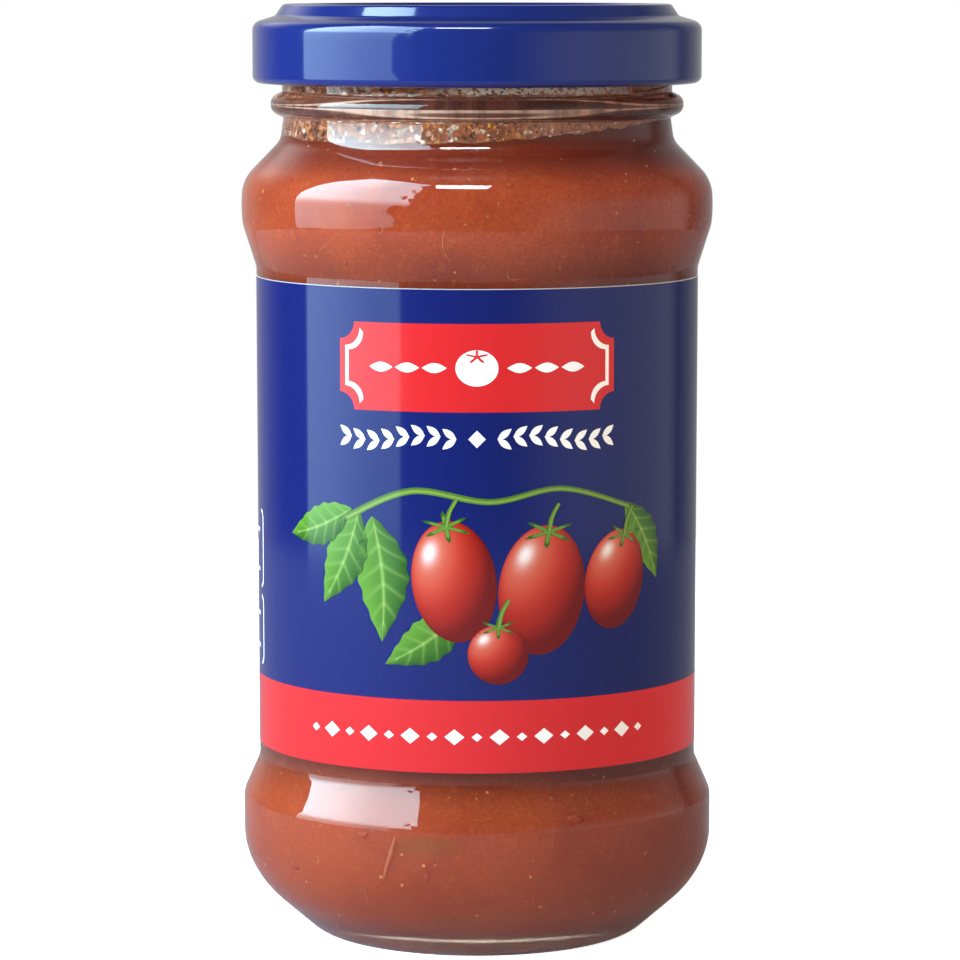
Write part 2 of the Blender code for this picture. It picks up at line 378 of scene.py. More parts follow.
def smear_material(settings):
    """What sauce leaves on the glass above its level: crumbs of brown, rust and cream in a dried film, the
    cream partly painted highlights. Painted light lifts it towards the right and in the gap above the bead,
    and behind the bead it carries a painted reflection.
    """
    tree = Tree("sauce_film")
    x, _, z = tree.axes()
    crumb_size, crumb = tree.cells(1150.0, tree.shaken(0.0009, 900.0))
    fine_size, fine = tree.cells(2300.0, tree.shaken(0.0005, 1500.0))
    patches = tree.noise(150.0, detail=3.0, distortion=0.5)
    lot = tree.plus(crumb, tree.remap(patches, 0.35, 0.65, -0.16, 0.16))
    # The cream crumbs are partly dried film and partly painted highlights, standing in for glints on wet
    # drops.
    shade = tree.steps(
        lot, (0.0, (0.09, 0.022, 0.011)), (0.14, (0.28, 0.075, 0.032)), (0.44, (0.50, 0.135, 0.042)),
        (0.68, (0.78, 0.24, 0.040)), (0.80, (0.70, 0.32, 0.17)), (0.91, (0.95, 0.72, 0.50)),
    )
    shade = tree.mix(settings.film, shade, tree.remap(crumb_size, 0.35, 0.60, 1.0, 0.35))
    grit = tree.steps(
        fine, (0.0, (0.09, 0.024, 0.012)), (0.20, (0.36, 0.11, 0.05)), (0.84, (0.95, 0.70, 0.48)),
    )
    shade = tree.mix(shade, grit, tree.remap(fine_size, 0.25, 0.40, 0.55, 0.0))
    # Painted light: the film turns lighter and warmer towards the right.
    shade = tree.mix(shade, (0.98, 0.42, 0.22), tree.remap(x, 0.003, 0.014, 0.0, 0.32))
    smooth = tree.noise(420.0, detail=4.0, vector=tree.stretched((1.0, 1.0, 6.0)))
    middle = (BEAD_TOP + BEAD_FOOT) / 2
    # Behind the bead the film is darker above its middle and lighter below. The bright stripe under the
    # middle is a painted reflection of the pale floor.
    upper = tree.mix((0.08, 0.017, 0.010), (0.17, 0.038, 0.020), tree.remap(smooth, 0.42, 0.66))
    lower = tree.mix((0.14, 0.034, 0.016), (0.23, 0.066, 0.033), tree.remap(smooth, 0.40, 0.62))
    calm = tree.mix(lower, upper, tree.remap(z, middle - 0.00004, middle + 0.00002))
    painted_bead_reflection = tree.remap(z, middle - 0.00020, middle - 0.00016)
    painted_bead_reflection = tree.times(painted_bead_reflection, tree.remap(z, middle - 0.00011, middle - 0.00006, 1.0, 0.0))
    painted_bead_reflection = tree.times(painted_bead_reflection, tree.remap(smooth, 0.32, 0.56, 0.35, 0.95))
    calm = tree.mix(calm, (0.92, 0.56, 0.38), painted_bead_reflection)
    off = tree.math("ABSOLUTE", tree.math("SUBTRACT", z, middle))
    shade = tree.mix(shade, calm, tree.remap(off, 0.0008, 0.0014, 1.0, 0.0))
    # Paler film in the gap above the bead: partly cream film, partly painted light in the lid's shade.
    pale = tree.times(
        tree.remap(z, BEAD_TOP, BEAD_TOP + 0.0004), tree.remap(x, -0.010, 0.002, 0.0, 0.85),
        tree.remap(x, 0.018, 0.024, 1.0, 0.0), tree.remap(fine, 0.30, 0.34),
    )
    shade = tree.mix(shade, (1.0, 0.80, 0.60), pale)
    across = tree.math("DIVIDE", x, 0.0278)
    climb = tree.times(across, tree.plus(across, 1.0))
    surface = tree.math("MULTIPLY_ADD", climb, settings.lean, settings.level)
    above = tree.math("SUBTRACT", z, surface)
    wander = tree.remap(tree.noise(700.0, detail=3.0), 0.3, 0.7, -0.0003, 0.0003)
    above = tree.plus(above, wander, tree.remap(x, 0.012, 0.026, 0.0007, 0.0001))
    crust = tree.remap(above, -0.00005, 0.00010)
    bare = tree.remap(tree.noise(300.0, detail=4.0), 0.30, 0.36, 0.45, 1.0)
    thin = tree.remap(z, settings.level + 0.0150, settings.level + 0.0172, 1.0, 0.0)
    tree.set(
        Base_Color=shade,
        Roughness=0.35,
        Specular_IOR_Level=0.3,
        Alpha=tree.times(bare, thin, settings.film_cover, crust),
        Normal=tree.bump(crumb_size, 0.0003, 0.5),
    )
    return tree.material


def drop_material():
    """Drops of sauce in the film, in the colours that their mesh carries."""
    tree = Tree("sauce_drops")
    colour = tree.mix(tree.ink(), (0.02, 0.006, 0.003), tree.remap(tree.noise(1500.0), 0.5, 0.8, 0.0, 0.5))
    tree.set(Base_Color=colour, Roughness=0.3, Specular_IOR_Level=0.3)
    return tree.material


def bit_material(name, colour, darker, scale=900.0):
    """A solid bit in the sauce, stained unevenly by it."""
    tree = Tree(name)
    stain = tree.remap(tree.noise(scale, detail=4.0), 0.35, 0.70)
    shade = tree.mix(colour, darker, stain)
    bump = tree.bump(stain, 0.0002, 0.4)
    tree.set(Base_Color=shade, Roughness=0.5, Specular_IOR_Level=0.2, Normal=bump)
    return tree.material


def enamel_material(settings):
    """Blue enamel on pressed steel: a deep clear coat with faint orange peel and a few fine scuffs."""
    tree = Tree("lid_enamel")
    drift = tree.noise(90.0, detail=3.0)
    peel = tree.noise(1500.0, detail=2.0)
    scuffs = tree.noise(260.0, detail=6.0, roughness=0.7, vector=tree.stretched((1.0, 1.0, 7.0)))
    worn = tree.remap(scuffs, 0.66, 0.76)
    shade = tree.mix(settings.colour, settings.shade, tree.remap(drift, 0.3, 0.7, 0.0, 0.35))
    shade = tree.mix(shade, (0.10, 0.14, 0.36), tree.times(worn, 0.25))
    tree.set(
        Base_Color=shade,
        Roughness=tree.remap(worn, 0.0, 1.0, 0.20, 0.34),
        Specular_IOR_Level=0.05,
        Coat_Weight=1.0,
        Coat_Roughness=0.06,
        Coat_IOR=1.5,
        Normal=tree.bump(peel, 0.00006, 0.35),
    )
    return tree.material


def gasket_material():
    tree = Tree("lid_gasket")
    mottle = tree.remap(tree.noise(600.0, detail=3.0), 0.3, 0.7)
    shade = tree.mix((0.62, 0.60, 0.56), (0.50, 0.47, 0.42), mottle)
    tree.set(Base_Color=shade, Roughness=0.55, Normal=tree.bump(mottle, 0.0001, 0.4))
    return tree.material


def coated_paper(name, colour, coat=0.85, ink=False):
    """Coated label paper: satin, with faint fibres and long ripples where the glue holds less."""
    tree = Tree(name)
    fibre = tree.noise(3200.0, detail=3.0, vector=tree.stretched((1.0, 1.0, 0.5)))
    ripple = tree.noise(46.0, detail=2.0, vector=tree.stretched((1.0, 1.0, 0.35)))
    base = tree.ink() if ink else colour
    shade = tree.mix(base, (0.30, 0.31, 0.36), tree.remap(fibre, 0.55, 0.85, 0.0, 0.03))
    bump = tree.bump(ripple, 0.0010, 0.16, tree.bump(fibre, 0.00004, 0.5))
    tree.set(
        Base_Color=shade,
        Roughness=tree.remap(fibre, 0.3, 0.7, 0.40, 0.50),
        Specular_IOR_Level=0.0,
        Coat_Weight=coat,
        Coat_Roughness=0.09,
        Normal=bump,
    )
    return tree.material


# Settings


class JarGlassSettings(bpy.types.PropertyGroup):
    wall: FloatProperty(
        name="Wall", description="Thickness of the body's wall", default=0.0026, unit="LENGTH"
    )
    neck_wall: FloatProperty(
        name="Neck wall", description="Thickness of the neck's wall", default=0.0024, unit="LENGTH"
    )
    neck_radius: FloatProperty(
        name="Neck radius", description="Outside of the neck below the lid", default=0.0302, unit="LENGTH"
    )
    floor: FloatProperty(
        name="Floor height", description="Height of the floor inside the jar", default=0.0047, unit="LENGTH"
    )
    bead_radius: FloatProperty(
        name="Bead radius", description="Outside of the bead, near its foot", default=0.03198, unit="LENGTH"
    )
    sides: IntProperty(name="Sides", description="Facets round the glass", default=256, min=24)
    tint: FloatVectorProperty(
        name="Tint", description="Colour of the glass", default=(0.93, 0.965, 0.94), size=3, subtype="COLOR"
    )
    shadow_tint: FloatVectorProperty(
        name="Lamp tint", description="Colour of lamp light that passes", default=(0.93, 0.96, 0.94),
        size=3, subtype="COLOR",
    )


class SauceSettings(bpy.types.PropertyGroup):
    level: FloatProperty(
        name="Level", description="Height of the sauce on the jar's axis", default=0.1239, unit="LENGTH"
    )
    lean: FloatProperty(
        name="Lean", description="How far the sauce climbs at the right wall", default=0.0016, unit="LENGTH"
    )
    reach: FloatProperty(
        name="Reach", description="How far the sauce goes into the glass wall", default=0.00025, unit="LENGTH"
    )
    contact: FloatProperty(
        name="Contact index", description="Refraction from the glass into the sauce", default=0.89
    )
    colour: FloatVectorProperty(
        name="Colour", description="Main colour", default=(0.49, 0.088, 0.027), size=3, subtype="COLOR"
    )
    # Also mixed in towards the bottom, partly as painted shade.
    deep: FloatVectorProperty(
        name="Deep", description="Colour of the darker pulp", default=(0.37, 0.058, 0.021), size=3,
        subtype="COLOR",
    )
    # Painted shade: the colour mixed in just under the neck and along the label's edges.
    dark: FloatVectorProperty(
        name="Dark", description="Colour just under the neck", default=(0.17, 0.016, 0.008), size=3,
        subtype="COLOR",
    )
    oily: FloatVectorProperty(
        name="Oil", description="Colour of the oily pulp", default=(0.62, 0.140, 0.034), size=3,
        subtype="COLOR",
    )
    speck: FloatVectorProperty(
        name="Specks", description="Colour of fine specks", default=(0.85, 0.42, 0.12), size=3,
        subtype="COLOR",
    )
    film: FloatVectorProperty(
        name="Film", description="Colour of smears on the glass", default=(0.30, 0.085, 0.038), size=3,
        subtype="COLOR",
    )
    film_cover: FloatProperty(
        name="Film cover", description="How opaque the smears are", default=0.97, min=0.0, max=1.0
    )
    drops: IntProperty(name="Drops", description="Drops of sauce in the neck", default=1700, min=0, max=2400)
    seed: IntProperty(name="Seed", description="Seed of every random draw", default=7)


class LidSettings(bpy.types.PropertyGroup):
    steel: FloatProperty(name="Steel", description="Thickness of the lid", default=0.0003, unit="LENGTH")
    sides: IntProperty(name="Sides", description="Facets round the lid", default=192, min=24)
    colour: FloatVectorProperty(
        name="Colour", description="Enamel", default=(0.008, 0.019, 0.140), size=3, subtype="COLOR"
    )
    shade: FloatVectorProperty(
        name="Shade", description="Darker drift in the enamel", default=(0.007, 0.016, 0.118), size=3,
        subtype="COLOR",
    )


class LabelSettings(bpy.types.PropertyGroup):
    thickness: FloatProperty(
        name="Thickness", description="Thickness of the paper", default=0.0001, unit="LENGTH"
    )
    overlap: FloatProperty(
        name="Overlap", description="Overlap of the seam at the back", default=0.006, unit="LENGTH"
    )
    band: FloatProperty(
        name="Band", description="Height of the band at the bottom", default=0.0110, unit="LENGTH"
    )
    field: FloatVectorProperty(
        name="Field", description="Main colour", default=(0.006, 0.012, 0.105), size=3, subtype="COLOR"
    )
    red: FloatVectorProperty(
        name="Red", description="Band and plaque", default=(0.57, 0.019, 0.021), size=3, subtype="COLOR"
    )
    white: FloatVectorProperty(
        name="White", description="Lines and ornaments", default=(0.86, 0.86, 0.84), size=3, subtype="COLOR"
    )


class StageSettings(bpy.types.PropertyGroup):
    distance: FloatProperty(
        name="Distance", description="Camera's distance from the jar's axis", default=0.715, unit="LENGTH"
    )
    camera_height: FloatProperty(
        name="Camera height", description="Height of the camera", default=0.1505, unit="LENGTH"
    )
    aside: FloatProperty(
        name="Aside", description="How far right of the jar's axis the camera stands", default=0.00045,
        unit="LENGTH",
    )
    pitch: FloatProperty(
        name="Pitch", description="How far the camera looks down", default=math.radians(6.36), unit="ROTATION"
    )
    lens: FloatProperty(name="Lens", description="Focal length in millimetres", default=172.5)


# Glass


THREADS = 4
THREAD_START = math.radians(-131)
THREAD_SPAN = math.radians(96)
THREAD_END = math.radians(5)
THREAD_HEIGHT = 0.1328
THREAD_LEAD = 0.0150
THREAD_ROUTE = 0.0305
THREAD_ROUNDING = 0.00135
THREAD_ZONE = 0.0295
FILM_REACH = 0.00030
BEAD_TOP = 0.1314
BEAD_FOOT = 0.1275
NECK_FOOT = 0.1239
WAIST_FOOT = (0.0341, 0.0278)
WAIST_TOP = (0.0343, 0.1044)
LOWER_BULGE_TOP = 0.0221
UPPER_BULGE = (0.1110, 0.1178)
FINE = 0.000006


def glass_outside(glass):
    """The outer outline from the rim down to the middle of the push-up."""
    return [
        (glass.neck_radius, RIM_HEIGHT, 0.0012),
        (glass.neck_radius, BEAD_TOP, 0.0003),
        (glass.bead_radius, BEAD_TOP - 0.00085, 0.0016, FINE / 8),
        (glass.bead_radius, BEAD_FOOT + 0.00085, 0.0016, FINE / 8),
        (glass.neck_radius - 0.0002, BEAD_FOOT, 0.0004),
        (glass.neck_radius + 0.0003, NECK_FOOT, 0.0030),
        (BULGE_RADIUS - 0.00022, UPPER_BULGE[1], 0.0061, FINE / 4),
        (BULGE_RADIUS + 0.00002, 0.1136, 0.0260, FINE / 8),
        (BULGE_RADIUS - 0.00020, UPPER_BULGE[0], 0.0061, FINE / 4),
        (*WAIST_TOP, 0.0036),
        (*WAIST_FOOT, 0.0037),
        (BULGE_RADIUS, LOWER_BULGE_TOP, 0.0036),
        (BULGE_RADIUS, 0.0135, 0.0124),
        (0.0338, 0.0080, 0.0160),
        (0.0246, 0.0, 0.0066),
        (0.0194, 0.0, 0.0008),
        (0.0170, 0.0011, 0.0012),
        (0.0, 0.0021),
    ]


def glass_inside(glass, grow=0.0):
    """The inner outline from the middle of the floor up the neck, grown for what reaches into the wall."""
    bulge = BULGE_RADIUS - glass.wall + grow
    floor = glass.floor - grow
    return [
        (0.0, floor),
        (bulge, floor, 0.0130),
        (bulge, LOWER_BULGE_TOP, 0.0036),
        (WAIST_FOOT[0] - glass.wall + grow, WAIST_FOOT[1], 0.0037),
        (WAIST_TOP[0] - glass.wall + grow, WAIST_TOP[1], 0.0060),
        (bulge, UPPER_BULGE[0], 0.0061),
        (bulge, UPPER_BULGE[1], 0.0061),
        (glass.neck_radius - glass.neck_wall + grow, NECK_FOOT, 0.0030),
    ]


def threaded(angles, radius, height):
    """Raises the four sloping threads from the outside of the neck."""
    outside = (radius > THREAD_ZONE) & (height > BEAD_TOP)
    for thread in range(THREADS):
        along = (angles - THREAD_START - thread * TURN / THREADS) % TURN
        middle = THREAD_HEIGHT + THREAD_LEAD * along / TURN
        ends = np.clip(np.minimum(along, THREAD_SPAN - along) / THREAD_END, 0.0, 1.0)
        thick = THREAD_ROUNDING * np.sqrt(ends * (2 - ends))
        lift = thick**2 - (height - middle) ** 2
        crest = THREAD_ROUTE + np.sqrt(np.maximum(lift, 0.0))
        radius = np.where(outside & (lift > 0), np.maximum(radius, crest), radius)
    return radius, height


class JAR_OT_glass(bpy.types.Operator):
    """Make the clear glass jar with its bead, threads, heel and push-up"""

    bl_idname = "sauce_jar.glass"
    bl_label = "Glass Jar"

    def execute(self, context):
        glass = context.scene.jar_glass
        inner_neck = glass.neck_radius - glass.neck_wall
        corners = glass_inside(glass) + [(inner_neck, RIM_HEIGHT, 0.0010)] + glass_outside(glass)
        outline = spaced(rounded(corners, FINE), 0.0030)
        outline = [
            point
            for start, end in zip(outline, outline[1:])
            for point in (spaced([start, end], 0.0003)[:-1] if thread_zone(start, end) else [start])
        ] + [outline[-1]]
        piece = turned("fine_glass", outline, glass.sides, shape=threaded)
        piece.data.materials.append(clear_glass_material(glass))
        place(piece, "clear_glass", "glass_jar")
        return {"FINISHED"}


def thread_zone(start, end):
    """True for a stretch of the outer neck that carries the threads."""
    low, high = sorted((start.y, end.y))
    return min(start.x, end.x) > THREAD_ZONE and high > BEAD_TOP and low > BEAD_TOP - MM


# Sauce and what floats in it


def sauce_level(sauce, x, reach):
    """The sauce's height across the jar: nearly flat at the left, climbing at the right."""
    across = x / reach
    return sauce.level + sauce.lean * across * (1 + across)


def sauce_outline(context):
    glass = context.scene.jar_glass
    sauce = context.scene.jar_sauce
    corners = glass_inside(glass, sauce.reach)
    return spaced(rounded(corners + [(corners[-1][0], RIM_HEIGHT)], FINE), 0.0012)


def wall_at(outline, height):
    """The sauce's radius and its outline's outward slope at a height on the side wall."""
    for below, above in zip(outline[1:], outline[2:]):
        if below.y <= height <= above.y:
            run = above - below
            share = (height - below.y) / max(run.y, 1e-9)
            return below.x + run.x * share, Vector((run.y, -run.x)).normalized()
    raise ValueError(f"no wall at height {height:.4f}")


class JAR_OT_sauce(bpy.types.Operator):
    """Make the tomato sauce, filling the glass up to its leaning level"""

    bl_idname = "sauce_jar.sauce"
    bl_label = "Tomato Sauce"

    def execute(self, context):
        sauce = context.scene.jar_sauce
        wall = [point for point in sauce_outline(context) if point.y < sauce.level - 0.0022]
        neck = context.scene.jar_glass.neck_radius - context.scene.jar_glass.neck_wall + sauce.reach
        shoulder = wall[-1]
        climb = [shoulder.lerp(Vector((neck, sauce.level)), step / 8) for step in range(1, 9)]
        top = [Vector((neck * (1 - step / 30), sauce.level)) for step in range(1, 31)]
        rows = len(wall)

        def level(angles, radius, height):
            x = radius * np.cos(angles)
            y = radius * np.sin(angles)
            ripple = np.sin(x * 610 + 1.3) * np.cos(y * 540 + 0.4) + 0.6 * np.sin(x * 1330 + y * 900)
            surface = sauce_level(sauce, x, neck) + 0.00022 * ripple
            edge = np.clip((radius / neck - 0.93) / 0.07, 0, 1)
            surface = surface + 0.0006 * edge**2
            share = np.ones_like(height)
            share[rows : rows + 8] = (np.arange(1, 9) / 8)[:, None]
            share[:rows] = 0
            return radius, height + (surface - height) * share

        piece = turned("sauce_body", wall + climb + top, 224, shape=level)
        piece.data.materials.append(sauce_material(sauce))
        place(piece, "tomato_sauce", "sauce")
        return {"FINISHED"}


class Scatter:
    """Many small forms gathered into one mesh."""

    def __init__(self, form_subdivisions=1):
        form = bmesh.new()
        bmesh.ops.create_icosphere(form, subdivisions=form_subdivisions, radius=1.0)
        self.unit = np.array([vert.co[:] for vert in form.verts])
        self.unit_faces = np.array([[vert.index for vert in face.verts] for face in form.faces])
        form.free()
        self.verts = []
        self.faces = []
        self.colours = []

    def add(self, centre, axes, colour, warp=None):
        """A ball stretched along three axes, each a vector as long as the form's half-width there."""
        points = self.unit if warp is None else warp(self.unit)
        self.faces.append(self.unit_faces + len(self.unit) * len(self.verts))
        self.verts.append(np.array(centre) + points @ np.array([axis[:] for axis in axes]))
        self.colours.append(np.tile((*colour, 1.0), (len(self.unit), 1)))

    def piece(self, name):
        faces = np.concatenate(self.faces).tolist()
        return finished_mesh(name, np.concatenate(self.verts), faces, np.concatenate(self.colours))


def wall_axes(angle, slope):
    """Unit vectors out of the wall, round it and up it, at an angle round the jar."""
    out = Vector((math.cos(angle) * slope.x, math.sin(angle) * slope.x, slope.y))
    around = Vector((-math.sin(angle), math.cos(angle), 0.0))
    return out, around, out.cross(around)


def strand(points, thickness):
    """A thin tapering tube along points, for a fibre or strip."""
    sides = 6
    verts = []
    faces = []
    for index, point in enumerate(points):
        ahead = (points[min(index + 1, len(points) - 1)] - points[max(index - 1, 0)]).normalized()
        side = ahead.orthogonal().normalized()
        other = ahead.cross(side)
        width = thickness * math.sin(math.pi * (index + 0.6) / (len(points) + 0.2)) ** 0.5
        for turn in range(sides):
            angle = TURN * turn / sides
            verts.append(point + (side * math.cos(angle) + other * math.sin(angle)) * width)
    for index in range(len(points) - 1):
        for turn in range(sides):
            after = (turn + 1) % sides
            low = index * sides
            faces.append((low + turn, low + after, low + sides + after, low + sides + turn))
    last = (len(points) - 1) * sides
    faces.append(tuple(reversed(range(sides))))
    faces.append(tuple(range(last, last + sides)))
    return verts, faces


class JAR_OT_bits(bpy.types.Operator):
    """Scatter herb flecks, skins, an orange strip and pale fibres where the sauce meets the glass"""

    bl_idname = "sauce_jar.bits"
    bl_label = "Bits in the Sauce"

    def execute(self, context):
        sauce = context.scene.jar_sauce
        draw = random.Random(sauce.seed)
        self.outline = sauce_outline(context)
        self.flecks("herb_flecks", draw, 6, (0.15, 0.4), (0.24, 0.085, 0.022), (0.30, 0.070, 0.018))
        self.flecks("orange_specks", draw, 260, (0.05, 0.20), (0.55, 0.20, 0.035), (0.48, 0.11, 0.022))
        self.flecks("tomato_skins", draw, 14, (0.3, 0.8), (0.38, 0.040, 0.013), (0.44, 0.062, 0.019))
        self.fibres(draw, 80)
        self.strip()
        return {"FINISHED"}

    def spot(self, draw):
        """A random place on the sauce's wall, in one of the two stretches that the label leaves bare."""
        if draw.random() < 0.45:
            height = draw.uniform(LABEL_TOP + 0.001, 0.1215)
        else:
            height = draw.uniform(0.0075, LABEL_BOTTOM - 0.001)
        angle = draw.uniform(0, TURN)
        radius, slope = wall_at(self.outline, height)
        out, around, up = wall_axes(angle, slope)
        return Vector((radius * math.cos(angle), radius * math.sin(angle), height)), out, around, up

    def flecks(self, name, draw, count, size, colour, darker):
        scatter = Scatter(2 if size[1] > 0.5 else 1)
        for _ in range(count):
            centre, out, around, up = self.spot(draw)
            turn = draw.uniform(0, math.pi)
            width = draw.uniform(*size) * MM
            length = width * draw.uniform(1.0, 2.4)
            along = around * math.cos(turn) + up * math.sin(turn)
            across = out.cross(along)
            bend = draw.uniform(1.5, 4.0)
            phase = draw.uniform(0, TURN)

            def ragged(points):
                edge = 1 + 0.25 * np.sin(bend * np.arctan2(points[:, 1], points[:, 0]) + phase)
                return points * np.stack([edge, edge, np.ones(len(points))], axis=1)

            scatter.add(centre, (along * length, across * width, out * 0.00010), (1, 1, 1), ragged)
        piece = scatter.piece(name)
        piece.data.materials.append(bit_material(name, colour, darker))
        place(piece, "tomato_sauce")

    def fibres(self, draw, count):
        verts = []
        faces = []
        for _ in range(count):
            centre = self.spot(draw)[0]
            turn = draw.uniform(0, math.pi)
            length = draw.uniform(1.5, 5.0) * MM
            curl = draw.uniform(-0.25, 0.25)
            thickness = draw.uniform(0.04, 0.09) * MM
            self.fibre(verts, faces, centre, turn, length, curl, thickness)
        piece = finished_mesh("pale_fibres", verts, faces)
        piece.data.materials.append(bit_material("pale_fibres", (0.58, 0.20, 0.060), (0.48, 0.115, 0.030)))
        place(piece, "tomato_sauce")

    def strip(self):
        """One soft orange strip, low at the left of the front."""
        verts = []
        faces = []
        angle = math.radians(-112)
        height = 0.0172
        radius, _ = wall_at(self.outline, height)
        centre = Vector((radius * math.cos(angle), radius * math.sin(angle), height))
        self.fibre(verts, faces, centre, math.radians(72), 8.0 * MM, 0.01, 0.62 * MM, 0.36 * MM)
        piece = finished_mesh("orange_strip", verts, faces)
        flesh = bit_material("orange_strip", (0.50, 0.105, 0.040), (0.42, 0.085, 0.030), 500.0)
        piece.data.materials.append(flesh)
        place(piece, "tomato_sauce")

    def fibre(self, verts, faces, centre, turn, length, curl, thickness, sunk=0.0):
        """One fibre that follows the wall from its middle, both ways, sunk in it or not."""
        angle = math.atan2(centre.y, centre.x)
        points = []
        for step in range(9):
            run = (step / 8 - 0.5) * length
            heading = turn + curl * (step - 4)
            height = min(max(centre.z + run * math.sin(heading), 0.0070), 0.1220)
            radius, _ = wall_at(self.outline, height)
            at = angle + run * math.cos(heading) / radius
            radius -= sunk
            points.append(Vector((radius * math.cos(at), radius * math.sin(at), height)))
        made, joined = strand(points, thickness)
        faces += [tuple(index + len(verts) for index in face) for face in joined]
        verts += made


class JAR_OT_smears(bpy.types.Operator):
    """Smear the inside of the neck with a film of sauce and drops"""

    bl_idname = "sauce_jar.smears"
    bl_label = "Neck Smears"

    def execute(self, context):
        glass = context.scene.jar_glass
        sauce = context.scene.jar_sauce
        draw = random.Random(sauce.seed + 1)
        inner = glass.neck_radius - glass.neck_wall + FILM_REACH
        wall = rounded(glass_inside(glass, FILM_REACH) + [(inner, 0.1414)], FINE)
        film = [point for point in spaced(wall, 0.0006) if point.y > 0.1219]
        piece = turned("sauce_film", film, 192)
        piece.data.materials.append(smear_material(sauce))
        place(piece, "tomato_sauce")
        drops = Scatter(1)
        for _ in range(sauce.drops):
            self.drop(draw, drops, sauce, inner)
        piece = drops.piece("sauce_drops")
        piece.data.materials.append(drop_material())
        place(piece, "tomato_sauce")
        return {"FINISHED"}

    def drop(self, draw, drops, sauce, inner):
        """One drop, more likely just above the sauce and at the right of the front."""
        angle = draw.uniform(0, TURN)
        height = sauce_level(sauce, inner * math.cos(angle), inner) + 0.0140 * draw.random() ** 1.4
        aside = (angle - FRONT + math.pi) % TURN - math.pi
        crowd = 0.5 + 0.5 * math.cos(aside - math.radians(25))
        bare = -math.radians(42) < aside < -math.radians(14)
        if draw.random() > (0.12 if bare else 0.25 + 0.75 * crowd):
            return
        if BEAD_FOOT - 0.0001 < height < BEAD_TOP:
            return
        size = draw.uniform(0.08, 0.20) * MM if draw.random() < 0.8 else draw.uniform(0.20, 0.40) * MM
        hue = draw.random()
        if hue < 0.40:
            colour = (0.20, 0.055, 0.022)
        elif hue < 0.72:
            colour = (0.50, 0.15, 0.030)
        elif hue < 0.85:
            colour = (0.74, 0.34, 0.05)
        else:
            colour = (0.85, 0.72, 0.60)
        out, around, up = wall_axes(angle, Vector((1.0, 0.0)))
        centre = out * inner + Vector((0, 0, height))
        width = size * draw.uniform(0.8, 1.2)
        tall = size * draw.uniform(0.8, 1.7)
        drops.add(centre, (around * width, up * tall, out * size * 0.6), colour)


# Lid


class JAR_OT_lid(bpy.types.Operator):
    """Make the enamelled lug lid with its safety button, curled edge, lugs and gasket"""

    bl_idname = "sauce_jar.lid"
    bl_label = "Lug Lid"

    def execute(self, context):
        lid = context.scene.jar_lid
        panel = LID_TOP - 0.0010
        steel = lid.steel
        curl = 0.0024
        corners = [
            (0.0, panel + 0.0004),
            (0.0140, panel + 0.0004, 0.0020),
            (0.0152, panel, 0.0020),
            (0.0259, panel, 0.0006),
            (0.0268, LID_TOP, 0.0005),
            (0.0300, LID_TOP, 0.0008),
            (0.0312, 0.1431, 0.0008),
            (LID_RADIUS, 0.1420, 0.0016),
            (LID_RADIUS, LID_BOTTOM, 0.0012),
            (0.0323, LID_BOTTOM, 0.0009),
            (0.0323, LID_BOTTOM + curl, 0.0009),
            (LID_RADIUS - steel, LID_BOTTOM + curl, 0.0004),
            (LID_RADIUS - steel, 0.1420 - steel, 0.0012),
            (0.0312 - steel, 0.1431 - steel, 0.0006),
            (0.0300 - steel, RIM_HEIGHT + 0.0004, 0.0003),
            (0.0268 - steel, RIM_HEIGHT + 0.0004, 0.0003),
            (0.0259, panel - steel, 0.0004),
            (0.0, panel - steel),
        ]
        outline = spaced(rounded(corners, FINE / 2), 0.0016)
        piece = turned("enamel_lid", outline, lid.sides)
        piece.data.materials.append(enamel_material(lid))
        place(piece, "lid_enamel", "lid")
        self.gasket()
        self.lugs()
        return {"FINISHED"}

    def gasket(self):
        corners = [
            (0.0301, RIM_HEIGHT + 0.0003, 0.0002),
            (0.0301, RIM_HEIGHT - 0.0002, 0.0002),
            (0.0268, RIM_HEIGHT - 0.0002, 0.0002),
            (0.0268, RIM_HEIGHT + 0.0003, 0.0002),
        ]
        outline = rounded(corners, FINE / 2)
        piece = turned("lid_gasket", outline, 128, closed=True)
        piece.data.materials.append(gasket_material())
        place(piece, "lid_enamel")

    def lugs(self):
        form = bmesh.new()
        for index in range(THREADS):
            angle = THREAD_START + math.radians(79) + TURN * index / THREADS
            size = Matrix.Diagonal((0.0024, 0.0066, 0.0009, 1.0))
            spot = Matrix.Translation((0.0321, 0.0, 0.13355))
            bmesh.ops.create_cube(form, size=1.0, matrix=Matrix.Rotation(angle, 4, "Z") @ spot @ size)
        bmesh.ops.bevel(
            form, geom=form.edges[:] + form.verts[:], offset=0.0003, segments=3, affect="EDGES", profile=0.5
        )
        mesh = bpy.data.meshes.new("lid_lugs")
        form.to_mesh(mesh)
        form.free()
        mesh.shade_smooth()
        piece = linked("lid_lugs", mesh)
        piece.data.materials.append(bpy.data.materials["lid_enamel"])
        place(piece, "lid_enamel")


# Label


def label_radius(height):
    """The label's outside at a height: the jar's waist is a little wider at its top."""
    share = (height - LABEL_BOTTOM) / LABEL_HEIGHT
    return 0.03415 + 0.00020 * share


def on_label(along, up, lift=0.0):
    """The place of a point of the print, in metres round from the front's middle and up from the bottom."""
    height = LABEL_BOTTOM + up
    radius = label_radius(height)
    angle = FRONT + along / radius
    reach = radius + lift
    return Vector((reach * math.cos(angle), reach * math.sin(angle), height))


